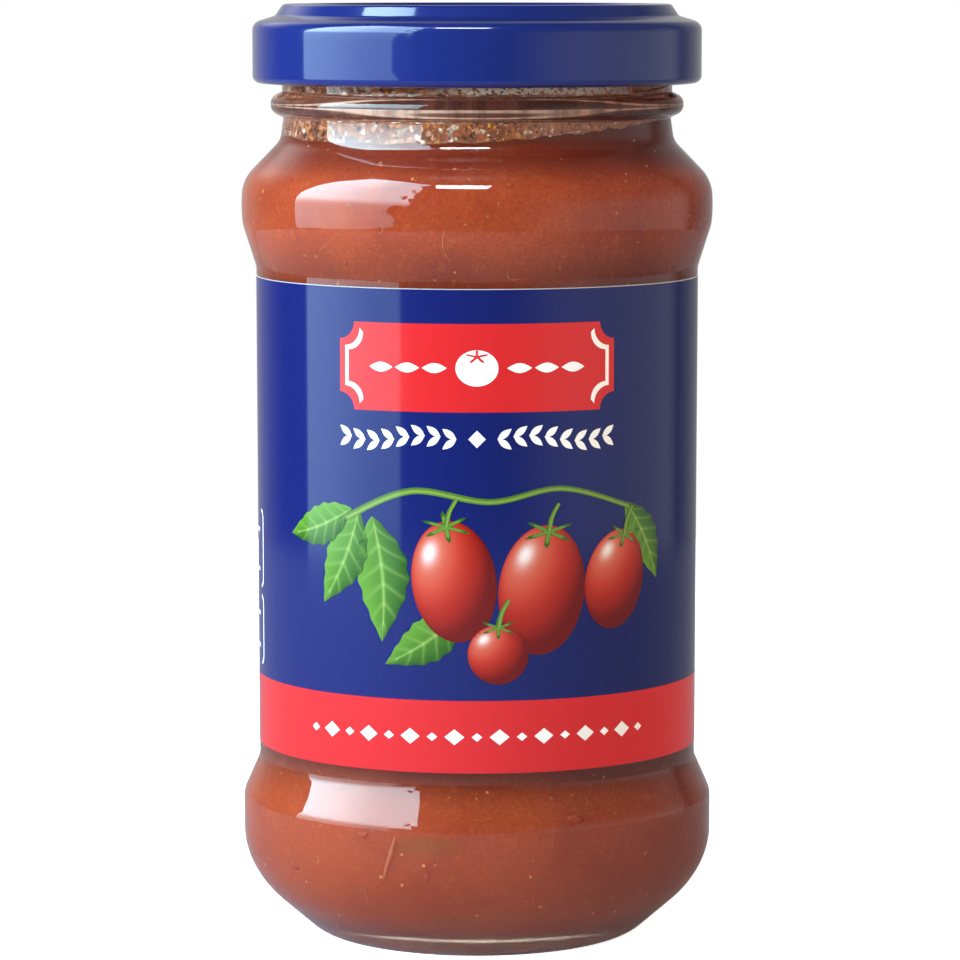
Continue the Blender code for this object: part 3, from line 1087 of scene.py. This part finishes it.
class JAR_OT_label(bpy.types.Operator):
    """Wrap the paper label round the jar's waist, with its seam at the back"""

    bl_idname = "sauce_jar.label"
    bl_label = "Paper Label"

    def execute(self, context):
        label = context.scene.jar_label
        around = math.pi * label_radius(LABEL_TOP)
        columns = 360
        total = 2 * around + label.overlap
        heights = [LABEL_HEIGHT * row / 48 for row in range(49)]
        heights[1:1] = [0.0001]
        heights[-1:-1] = [LABEL_HEIGHT - 0.0001]
        verts = []
        for up in heights:
            for column in range(columns + 1):
                along = -around + total * column / columns
                over = max(0.0, min(1.0, (along - around + 0.004) / 0.004))
                verts.append(on_label(along, up, -0.00001 + 1.4 * label.thickness * over))
        mesh = bpy.data.meshes.new("paper_label")
        mesh.from_pydata(verts, [], sheet_faces(columns, len(heights) - 1))
        mesh.shade_smooth()
        piece = linked("paper_label", mesh)
        mesh.materials.append(coated_paper("label_field", label.field))
        mesh.materials.append(coated_paper("label_edge", (0.80, 0.80, 0.80), coat=0.0))
        paper = piece.modifiers.new("Paper", "SOLIDIFY")
        paper.thickness = label.thickness
        paper.offset = -1.0
        paper.material_offset = 1
        paper.material_offset_rim = 1
        place(piece, "label_paper", "label")
        return {"FINISHED"}


class Print:
    """Ink shapes on the label, gathered into one mesh. Places are in millimetres round and up from the
    middle of the front's bottom edge, and a higher layer lies over a lower one."""

    LAYER = 0.000012

    def __init__(self):
        self.verts = []
        self.faces = []
        self.colours = []

    def patch(self, points, faces, colours, layer):
        first = len(self.verts)
        self.verts += [on_label(u * MM, v * MM, self.LAYER * (layer + 1)) for u, v in points]
        self.faces += [tuple(index + first for index in face) for face in faces]
        self.colours += [(*colour, 1.0) for colour in colours]

    def grid(self, columns, rows, where, colour, layer):
        """A sheet of columns by rows, each point from where(s, t) and its ink from colour(s, t)."""
        steps = [(s / columns, t / rows) for t in range(rows + 1) for s in range(columns + 1)]
        points = [where(s, t) for s, t in steps]
        self.patch(points, sheet_faces(columns, rows), [colour(s, t) for s, t in steps], layer)

    def bar(self, left, bottom, right, top, colour, layer):
        columns = max(1, math.ceil((right - left) / 1.2))
        self.grid(
            columns, 1, lambda s, t: (left + (right - left) * s, bottom + (top - bottom) * t),
            lambda s, t: colour, layer,
        )

    def fill(self, outline, colour, layer):
        """A flat shape, cut into upright strips so that it bends round the jar."""
        form = bmesh.new()
        form.faces.new([form.verts.new((u, v, 0.0)) for u, v in outline])
        left = min(u for u, _ in outline)
        right = max(u for u, _ in outline)
        cuts = math.floor((right - left) / 1.2)
        for cut in range(1, cuts + 1):
            where = left + (right - left) * cut / (cuts + 1)
            geometry = form.verts[:] + form.edges[:] + form.faces[:]
            bmesh.ops.bisect_plane(form, geom=geometry, plane_co=(where, 0, 0), plane_no=(1, 0, 0))
        bmesh.ops.triangulate(form, faces=form.faces)
        form.verts.index_update()
        points = [(vert.co.x, vert.co.y) for vert in form.verts]
        faces = [[vert.index for vert in face.verts] for face in form.faces]
        form.free()
        self.patch(points, faces, [colour] * len(points), layer)

    def border(self, outline, inner, colour, layer):
        """A line between two outlines that have as many points."""
        count = len(outline)
        faces = [(i, (i + 1) % count, (i + 1) % count + count, i + count) for i in range(count)]
        self.patch(list(outline) + list(inner), faces, [colour] * (2 * count), layer)

    def build(self, name):
        mesh = bpy.data.meshes.new(name)
        mesh.from_pydata(self.verts, [], self.faces)
        inked(mesh, self.colours)
        form = bmesh.new()
        form.from_mesh(mesh)
        for face in form.faces:
            face.normal_update()
            middle = face.calc_center_median()
            if face.normal.dot(Vector((middle.x, middle.y, 0.0))) < 0:
                face.normal_flip()
        form.to_mesh(mesh)
        form.free()
        mesh.shade_smooth()
        return linked(name, mesh)


def blended(first, second, share):
    return tuple(a + (b - a) * share for a, b in zip(first, second))


def ellipse(centre, width, height, count=48, tilt=0.0):
    """Points round an ellipse with these half-axes."""
    turn = Matrix.Rotation(tilt, 2)
    points = []
    for index in range(count):
        angle = TURN * index / count
        point = turn @ Vector((width * math.cos(angle), height * math.sin(angle)))
        points.append((centre[0] + point.x, centre[1] + point.y))
    return points


def scooped(centre, width, height, scoop, steps=8):
    """A plaque's outline: a rectangle whose corners are scooped out by quarter circles."""
    points = []
    for index, (side, end) in enumerate(((1, 1), (-1, 1), (-1, -1), (1, -1))):
        corner = Vector((side * width, end * height))
        start = {0: -90.0, 1: 0.0, 2: 90.0, 3: 180.0}[index]
        for step in range(steps + 1):
            angle = math.radians(start - 90.0 * step / steps)
            point = corner + scoop * Vector((math.cos(angle), math.sin(angle)))
            points.append((centre[0] + point.x, centre[1] + point.y))
    return points


def rounded_box(left, bottom, right, top, radius, steps=6):
    points = []
    corners = ((right, top, 0), (left, top, 90), (left, bottom, 180), (right, bottom, 270))
    for u, v, start in corners:
        middle = (
            u - math.copysign(radius, u - (left + right) / 2),
            v - math.copysign(radius, v - (bottom + top) / 2),
        )
        for step in range(steps + 1):
            angle = math.radians(start + 90 * step / steps)
            points.append((middle[0] + radius * math.cos(angle), middle[1] + radius * math.sin(angle)))
    return points


class JAR_OT_print(bpy.types.Operator):
    """Print the label: a red band, a plaque, a leaf garland, plum tomatoes on the vine and blank panels"""

    bl_idname = "sauce_jar.print"
    bl_label = "Label Print"

    def execute(self, context):
        label = context.scene.jar_label
        self.red = tuple(label.red)
        self.white = tuple(label.white)
        self.sheet = Print()
        self.band(label)
        self.plaque((0.0, 61.0), 22.0, 6.6)
        self.garland((0.0, 50.4), 20.0)
        self.vine()
        self.panels(label)
        piece = self.sheet.build("label_print")
        piece.data.materials.append(coated_paper("label_ink", (1, 1, 1), ink=True))
        place(piece, "label_paper")
        return {"FINISHED"}

    def band(self, label):
        """The band along the bottom, with a row of small lozenges in place of words."""
        around = math.pi * label_radius(LABEL_BOTTOM) / MM - 0.5
        top = label.band / MM
        self.sheet.bar(-around, 0.0, around, top, self.red, 0)
        for index in range(-8, 9):
            centre = (index * 3.4, top / 2)
            size = 1.5 if index % 2 else 0.8
            self.sheet.fill(ellipse(centre, size, size * 0.8, 4), self.white, 1)
        self.sheet.bar(-around, LABEL_HEIGHT / MM - 0.13, around, LABEL_HEIGHT / MM, (0.42, 0.42, 0.42), 0)

    def plaque(self, centre, width, height):
        """A red plaque with scooped corners and a white line, with a plain tomato in its middle."""
        self.sheet.fill(scooped(centre, width, height, 2.6), self.red, 0)
        self.sheet.border(
            scooped(centre, width - 1.0, height - 1.0, 2.6), scooped(centre, width - 1.6, height - 1.6, 2.6),
            self.white, 1,
        )
        self.sheet.fill(ellipse(centre, 3.2, 2.7), self.white, 1)
        self.sheet.fill(star((centre[0], centre[1] + 1.7), 1.9, 5), self.red, 2)
        for side in (-1, 1):
            for step in range(3):
                tip = (centre[0] + side * (6.4 + 4.2 * step), centre[1])
                self.sheet.fill(leaf_outline(tip, 1.9, 0.75, math.radians(90 - side * 90)), self.white, 1)

    def garland(self, centre, reach):
        """A white garland of small leaves on both sides of a lozenge."""
        self.sheet.fill(ellipse(centre, 1.3, 1.3, 4), self.white, 0)
        for side in (-1, 1):
            for step in range(8):
                aside = side * (3.2 + (reach - 3.2) * step / 7)
                root = (centre[0] + aside, centre[1] + 0.5 * math.sin(step * 0.9))
                for turn in (-1, 1):
                    angle = math.radians(90 - side * 90) + side * turn * math.radians(38)
                    tip = (root[0] + 1.15 * math.cos(angle), root[1] + 1.15 * math.sin(angle))
                    self.sheet.fill(leaf_outline(tip, 1.35, 0.52, angle), self.white, 0)

    def vine(self):
        """Three plum tomatoes and a small round one on a vine, with pointed leaves beside them."""
        stem = [(-21.0, 38.0), (-10.0, 42.5), (2.0, 41.0), (13.0, 42.8), (25.0, 39.5)]
        for tip, length, width, angle in (
            ((-22.0, 32.0), 8.0, 3.6, 245), ((-15.5, 29.0), 9.5, 4.2, 275), ((-26.5, 37.0), 7.0, 3.0, 200),
            ((28.0, 34.0), 7.0, 3.0, 300), ((-8.0, 20.5), 7.5, 3.3, 215),
        ):
            self.leaf(tip, length, width, math.radians(angle), 1)
        self.strip(stem, 0.55, 2)
        for centre, width, height, tilt in (
            ((-3.5, 29.0), 6.4, 9.2, 8), ((10.0, 27.6), 6.8, 9.8, -6), ((22.5, 28.6), 5.6, 7.6, -14),
            ((3.2, 18.0), 4.6, 4.5, 0),
        ):
            self.tomato(centre, width, height, math.radians(tilt), 3)

    def tomato(self, centre, width, height, tilt, layer):
        """One shaded tomato with its calyx and stalk."""
        deep, red, glow = (0.13, 0.004, 0.003), (0.46, 0.022, 0.010), (0.62, 0.20, 0.12)
        lamp = Vector((-0.48, 0.52, 0.70)).normalized()

        def where(s, t):
            angle = TURN * s
            point = Vector((width * t * math.cos(angle), height * t * math.sin(angle)))
            point.rotate(Matrix.Rotation(tilt, 2))
            return centre[0] + point.x, centre[1] + point.y

        def colour(s, t):
            angle = TURN * s
            normal = Vector((t * math.cos(angle), t * math.sin(angle), math.sqrt(max(0.0, 1 - t * t))))
            lit = max(0.0, normal.dot(lamp))
            shade = blended(deep, red, min(1.0, 1.25 * lit))
            shade = blended(shade, glow, 0.75 * lit**6)
            return blended(shade, (0.80, 0.70, 0.66), min(1.0, 1.2 * lit**60))

        self.sheet.grid(56, 16, where, colour, layer)
        top = Matrix.Rotation(tilt, 2) @ Vector((0.0, height * 0.90))
        crown = (centre[0] + top.x, centre[1] + top.y)
        self.sheet.fill(star(crown, width * 0.62, 6, tilt), (0.03, 0.10, 0.010), layer + 1)
        self.sheet.fill(star(crown, width * 0.46, 6, tilt), (0.11, 0.24, 0.03), layer + 2)
        stalk = [crown, (crown[0] + 0.5, crown[1] + 2.2), (crown[0] + 1.6, crown[1] + 4.2)]
        self.strip(stalk, 0.42, layer + 3)

    def leaf(self, root, length, width, angle, layer):
        """One shaded leaf with a midrib and side veins."""
        heading = Vector((math.cos(angle), math.sin(angle)))
        side = Vector((-heading.y, heading.x))

        def where(s, t):
            bow = 0.10 * length * math.sin(math.pi * t)
            half = width * math.sin(math.pi * t**0.85) * (1 + 0.05 * math.sin(40 * t))
            point = Vector(root) + heading * (2 * length * (t - 0.5)) + side * (bow + half * (2 * s - 1))
            return point.x, point.y

        def colour(s, t):
            across = 2 * s - 1
            base = blended((0.014, 0.075, 0.006), (0.10, 0.26, 0.022), 0.5 - 0.5 * across)
            rib = math.exp(-((across / 0.06) ** 2))
            fan = (t * 6.5 - abs(across) * 0.9) % 1.0
            vein = math.exp(-(((fan - 0.5) / 0.11) ** 2)) * (1 - abs(across)) ** 0.5
            return blended(base, (0.26, 0.42, 0.09), min(1.0, 0.75 * rib + 0.38 * vein))

        self.sheet.grid(28, 84, where, colour, layer)

    def strip(self, route, width, layer):
        """A smooth green stalk along a few points, lighter along its middle."""
        dark, light = (0.06, 0.15, 0.018), (0.20, 0.32, 0.055)
        points = [Vector(point) for point in route]

        def spine(t):
            run = t * (len(points) - 1)
            index = min(int(run), len(points) - 2)
            share = run - index
            before = points[max(index - 1, 0)]
            start, end = points[index], points[index + 1]
            after = points[min(index + 2, len(points) - 1)]
            return 0.5 * (
                2 * start + (end - before) * share
                + (2 * before - 5 * start + 4 * end - after) * share**2
                + (3 * start - before - 3 * end + after) * share**3
            )

        def where(s, t):
            ahead = (spine(min(t + 0.01, 1.0)) - spine(max(t - 0.01, 0.0))).normalized()
            point = spine(t) + Vector((-ahead.y, ahead.x)) * width * (2 * s - 1) * (1 - 0.3 * t)
            return point.x, point.y

        def colour(s, t):
            return blended(dark, light, math.exp(-(((s - 0.42) / 0.22) ** 2)))

        self.sheet.grid(6, 12 * (len(route) - 1), where, colour, layer)

    def panels(self, label):
        """Blank boxes at the sides and a ruled white table at the back, with no words."""
        for left, bottom, right, top in ((-76.0, 24.6, -44.6, 37.0), (-76.0, 12.6, -44.6, 23.6)):
            self.outlined(left, bottom, right, top, 1.6, 0.55)
            for step in range(3):
                height = bottom + 2.4 + step * (top - bottom - 4.4) / 2.6
                end = right - 3.0 - 6.0 * (step % 2)
                self.sheet.bar(left + 3.0, height, end, height + 0.7, self.white, 0)
        self.outlined(57.0, 16.0, 78.0, 62.0, 2.0, 0.5)
        for step in range(9):
            height = 20.0 + 4.6 * step
            self.sheet.bar(60.0, height, 75.0 - 3.0 * (step % 3), height + 0.6, self.white, 0)
        for side in (-1, 1):
            edges = sorted((side * 82.0, side * 104.0))
            self.sheet.fill(rounded_box(edges[0], 15.0, edges[1], 66.0, 1.2), self.white, 0)
            for step in range(10):
                height = 18.0 + 4.6 * step
                self.sheet.bar(edges[0] + 2.0, height, edges[1] - 2.0, height + 0.25, tuple(label.field), 1)

    def outlined(self, left, bottom, right, top, radius, line):
        outer = rounded_box(left, bottom, right, top, radius)
        inner = rounded_box(left + line, bottom + line, right - line, top - line, radius - line)
        self.sheet.border(outer, inner, self.white, 0)


def leaf_outline(centre, length, width, angle, steps=7):
    """A plain pointed leaf: two arcs that meet at both ends."""
    heading = Vector((math.cos(angle), math.sin(angle)))
    side = Vector((-heading.y, heading.x))
    points = []
    for face in (1, -1):
        for step in range(steps):
            share = step / steps
            along = (1 - 2 * share) * face
            half = face * width * math.sin(math.pi * share)
            point = Vector(centre) + heading * length * along + side * half
            points.append((point.x, point.y))
    return points


def star(centre, radius, points, tilt=0.0):
    """A calyx: narrow curved sepals round a small middle."""
    outline = []
    steps = 8
    for index in range(points * steps):
        angle = tilt + math.pi / 2 + TURN * index / (points * steps)
        reach = radius * (0.24 + 0.76 * abs(math.cos(points * (angle - tilt - math.pi / 2) / 2)) ** 5)
        outline.append((centre[0] + reach * math.cos(angle), centre[1] + reach * math.sin(angle) * 0.62))
    return outline


# Stage


def lamp(name, where, target, size, radiance, colour=(1, 1, 1), **seen):
    """A rectangular lamp of a given radiance. seen turns off rays that should not meet it."""
    data = bpy.data.lights.new(name, "AREA")
    data.shape = "RECTANGLE"
    data.size, data.size_y = size
    data.energy = radiance * math.pi * size[0] * size[1]
    data.color = colour
    thing = linked(name, data)
    thing.location = where
    thing.rotation_euler = (Vector(target) - Vector(where)).to_track_quat("-Z", "Y").to_euler()
    thing.visible_camera = False
    thing.visible_transmission = False
    for ray, shown in seen.items():
        setattr(thing, f"visible_{ray}", shown)
    return data


def fade(data):
    """Dims a window lamp towards its right and its foot, and makes its right edge uneven."""
    tree = Nodes(data)
    spot = tree.node("ShaderNodeNewGeometry").outputs["Parametric"]
    u, v, _ = tree.axes(spot)
    wander = tree.remap(tree.noise(8.0, detail=3.0, vector=spot), 0.3, 0.7, -0.08, 0.08)
    across = tree.remap(u, 0.20, 0.72, 1.0, 0.65)
    bound = tree.remap(v, 0.07, 0.14, 0.794, 0.93)
    past = tree.math("SUBTRACT", tree.plus(u, wander), bound)
    edge = tree.remap(past, -0.02, 0.02, 1.0, 0.0)
    rise = tree.plus(tree.remap(v, 0.0, 0.06, 0.20, 0.25), tree.remap(v, 0.08, 0.23, 0.0, 0.75))
    tree.feed(tree.nodes["Emission"].inputs["Strength"], tree.times(across, edge, rise))


class JAR_OT_stage(bpy.types.Operator):
    """Set the pale floor, the studio light and the camera"""

    bl_idname = "sauce_jar.stage"
    bl_label = "Studio"

    def execute(self, context):
        stage = context.scene.jar_stage
        self.camera(context, stage)
        self.floor()
        self.lamps()
        self.world(context)
        context.scene.view_settings.view_transform = "Standard"
        return {"FINISHED"}

    def camera(self, context, stage):
        data = bpy.data.cameras.new("camera")
        data.lens = stage.lens
        data.sensor_width = 36.0
        data.sensor_fit = "HORIZONTAL"
        data.clip_start = 0.01
        data.clip_end = 100.0
        camera = linked("camera", data)
        camera.location = (stage.aside, -stage.distance, stage.camera_height)
        camera.rotation_euler = (math.pi / 2 - stage.pitch, 0.0, 0.0)
        context.scene.camera = camera

    def floor(self):
        form = bmesh.new()
        bmesh.ops.create_circle(form, cap_ends=True, segments=128, radius=0.5)
        mesh = bpy.data.meshes.new("floor")
        form.to_mesh(mesh)
        form.free()
        floor = linked("floor", mesh)
        tree = Tree("floor_paint")
        drift = tree.remap(tree.noise(0.7, detail=2.0), 0.3, 0.7)
        shade = tree.mix((0.93, 0.93, 0.93), (0.95, 0.95, 0.95), drift)
        rays = tree.rays()
        straight = tree.math("LESS_THAN", rays["Diffuse Depth"], 0.5)
        through = tree.times(rays["Is Transmission Ray"], straight)
        ray = tree.plus(rays["Is Camera Ray"], through)
        unseen = tree.mix((0.35, 0.36, 0.40), (0.22, 0.22, 0.22), rays["Is Diffuse Ray"])
        tree.set(
            Base_Color=tree.mix(unseen, shade, rays["Is Camera Ray"]),
            Roughness=0.9,
            Specular_IOR_Level=0.1,
            Emission_Color=tree.mix((1.0, 1.0, 1.0), (1.05, 1.07, 0.82), through),
            Emission_Strength=tree.times(ray, 0.75),
        )
        floor.data.materials.append(tree.material)

    def lamps(self):
        """A tall window at the left split into its glint and its light, a glint strip above the camera and a
        soft sun from above.
        """
        middle = (0.0, 0.0, 0.07)
        fade(lamp(
            "window", (-1.070, -0.563, 1.24), (0.053, -0.140, 1.24), (1.6, 2.72), 16.0, (0.60, 0.87, 1.0),
            diffuse=False,
        ))
        lamp("strip", (-0.1275, -0.75, 1.25), middle, (0.515, 0.26), 26.0, (1.0, 0.99, 0.97), diffuse=False)
        window = Vector((-0.88, -0.47, 0.0)) * 1.2
        lamp(
            "window_light", window + Vector((0, 0, 0.36)), middle, (1.35, 1.0), 11.5, (0.56, 0.77, 1.0),
            glossy=False,
        )
        sun = bpy.data.lights.new("sky", "SUN")
        sun.energy = math.pi * 0.12
        sun.angle = math.radians(60)
        sky = linked("sky", sun)
        sky.visible_glossy = False
        sky.visible_camera = False
        sky.visible_transmission = False

    def world(self, context):
        """A room that is pale behind the jar, grey at its right and dim in front. The camera sees white."""
        world = bpy.data.worlds.new("room")
        context.scene.world = world
        room = Nodes(world, "Generated")
        rays = room.rays()
        x, y, z = room.axes()
        pale = room.math("MULTIPLY_ADD", rays["Is Transmission Ray"], 0.6, 0.40)
        high = room.times(room.remap(z, 0.20, 0.45), room.remap(x, -0.40, -0.10, 1.2, 0.0))
        pale = room.plus(pale, high)
        pale = room.times(pale, room.remap(x, 0.0, 0.30, 1.0, 0.75))
        behind = room.times(room.remap(y, 0.42, 1.0), pale)
        card = room.times(
            room.remap(x, 0.20, 0.85, 0.0, 0.62), room.remap(y, 0.40, 0.70, 1.0, 0.0),
            room.remap(z, -0.05, 0.45, 1.0, 0.25),
        )
        mirrored = room.plus(room.math("MAXIMUM", behind, card), 0.06)
        level = room.times(room.remap(z, -0.35, 0.10), room.remap(z, 0.20, 0.75, 1.35, 0.10))
        level = room.times(level, room.remap(x, -0.3, 0.9, 1.0, 1.75))
        strength = room.math("MAXIMUM", mirrored, rays["Is Camera Ray"])
        strength = room.math("MULTIPLY_ADD", level, rays["Is Diffuse Ray"], strength)
        deeper = room.math("GREATER_THAN", rays["Diffuse Depth"], 0.5)
        inside = room.times(rays["Is Transmission Ray"], deeper)
        strength = room.math("MULTIPLY_ADD", level, room.times(inside, 0.35), strength)
        backdrop = room.nodes["Background"]
        room.feed(backdrop.inputs["Strength"], strength)
        warm = room.mix((1.0, 1.0, 1.0), (1.0, 0.82, 0.64), rays["Is Diffuse Ray"])
        room.feed(backdrop.inputs["Color"], room.mix(warm, (1.0, 0.60, 0.42), inside))


# Add-on


OPERATORS = (
    JAR_OT_stage, JAR_OT_glass, JAR_OT_sauce, JAR_OT_bits, JAR_OT_smears, JAR_OT_label, JAR_OT_print,
    JAR_OT_lid,
)
SETTINGS = {
    "jar_glass": JarGlassSettings,
    "jar_sauce": SauceSettings,
    "jar_lid": LidSettings,
    "jar_label": LabelSettings,
    "jar_stage": StageSettings,
}


class JAR_PT_panel(bpy.types.Panel):
    """The jar's pieces and their settings"""

    bl_label = "Sauce Jar"
    bl_idname = "JAR_PT_panel"
    bl_space_type = "VIEW_3D"
    bl_region_type = "UI"
    bl_category = "Sauce Jar"

    def draw(self, context):
        for operator in OPERATORS:
            self.layout.operator(operator.bl_idname)
        for name, group in SETTINGS.items():
            box = self.layout.box()
            for key in group.__annotations__:
                box.prop(getattr(context.scene, name), key)


def register():
    for group in SETTINGS.values():
        bpy.utils.register_class(group)
    for name, group in SETTINGS.items():
        setattr(bpy.types.Scene, name, PointerProperty(type=group))
    for operator in OPERATORS:
        bpy.utils.register_class(operator)
    bpy.utils.register_class(JAR_PT_panel)


def unregister():
    bpy.utils.unregister_class(JAR_PT_panel)
    for operator in reversed(OPERATORS):
        bpy.utils.unregister_class(operator)
    for name in SETTINGS:
        delattr(bpy.types.Scene, name)
    for group in reversed(SETTINGS.values()):
        bpy.utils.unregister_class(group)


def main():
    register()
    for operator in OPERATORS:
        group, name = operator.bl_idname.split(".")
        getattr(getattr(bpy.ops, group), name)()


if __name__ == "__main__":
    main()
